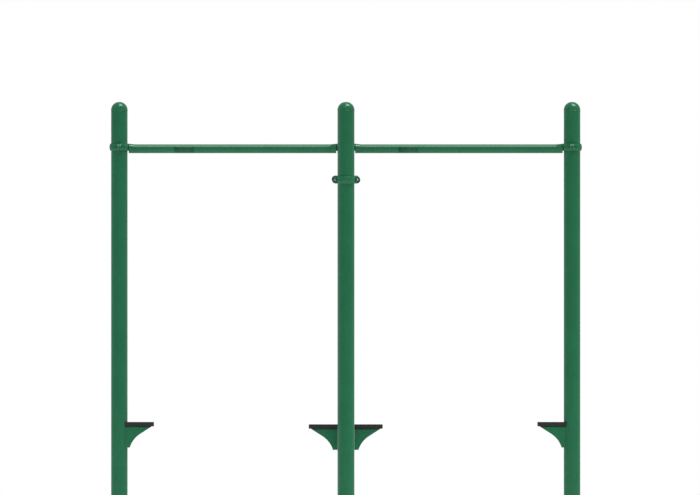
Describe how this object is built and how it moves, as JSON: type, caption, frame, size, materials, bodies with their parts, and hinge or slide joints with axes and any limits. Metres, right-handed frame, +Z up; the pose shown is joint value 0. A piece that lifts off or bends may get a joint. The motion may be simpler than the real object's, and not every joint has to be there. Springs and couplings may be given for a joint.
{
  "type": "pull-up bar station",
  "caption": "Outdoor pull-up station: round dome-capped posts set out as a T, horizontal bars held in split clamps, and grooved foot steps on curved brackets.",
  "frame": {"origin": "on the ground under the middle of the outline", "axes": "+Z up, +X along the two bars in line, +Y from the front post towards the hub post"},
  "size_m": [2.6384, 1.4192, 2.387],
  "materials": {
    "frame_paint": "gloss powder coat, dark green",
    "tread_rubber": "matt moulded, black",
    "fastener_steel": "zinc plated"
  },
  "bodies": {
    "root": {"bar_set_screws": "fastener_steel", "base_plate_front": "frame_paint", "base_plate_hub": "frame_paint", "base_plate_left": "frame_paint", "base_plate_right": "frame_paint", "cap_rivets": "fastener_steel", "clamp_bolts": "fastener_steel", "clamp_nuts": "fastener_steel", "foot_weld_front": "frame_paint", "foot_weld_hub": "frame_paint", "foot_weld_left": "frame_paint", "foot_weld_right": "frame_paint", "front_clamp_bar_half": "frame_paint", "front_clamp_outer_half": "frame_paint", "hub_clamp_left_half": "frame_paint", "hub_clamp_right_half": "frame_paint", "hub_low_clamp_bar_half": "frame_paint", "hub_low_clamp_outer_half": "frame_paint", "hub_step_sleeve": "frame_paint", "left_clamp_bar_half": "frame_paint", "left_clamp_outer_half": "frame_paint", "post_cap_front": "frame_paint", "post_cap_hub": "frame_paint", "post_cap_left": "frame_paint", "post_cap_right": "frame_paint", "post_front": "frame_paint", "post_hub": "frame_paint", "post_left": "frame_paint", "post_right": "frame_paint", "pull_up_bar_front": "frame_paint", "pull_up_bar_left": "frame_paint", "pull_up_bar_right": "frame_paint", "right_clamp_bar_half": "frame_paint", "right_clamp_outer_half": "frame_paint", "sleeve_bolts": "fastener_steel", "step_bracket_front": "frame_paint", "step_bracket_hub_front": "frame_paint", "step_bracket_hub_left": "frame_paint", "step_bracket_hub_right": "frame_paint", "step_bracket_left": "frame_paint", "step_bracket_right": "frame_paint", "step_tread_front": "tread_rubber", "step_tread_hub_front": "tread_rubber", "step_tread_hub_left": "tread_rubber", "step_tread_hub_right": "tread_rubber", "step_tread_left": "tread_rubber", "step_tread_right": "tread_rubber", "step_welds_front": "frame_paint", "step_welds_hub_front": "frame_paint", "step_welds_hub_left": "frame_paint", "step_welds_hub_right": "frame_paint", "step_welds_left": "frame_paint", "step_welds_right": "frame_paint", "tread_bolts": "fastener_steel", "tread_nuts": "fastener_steel"}
  },
  "joints": []
}
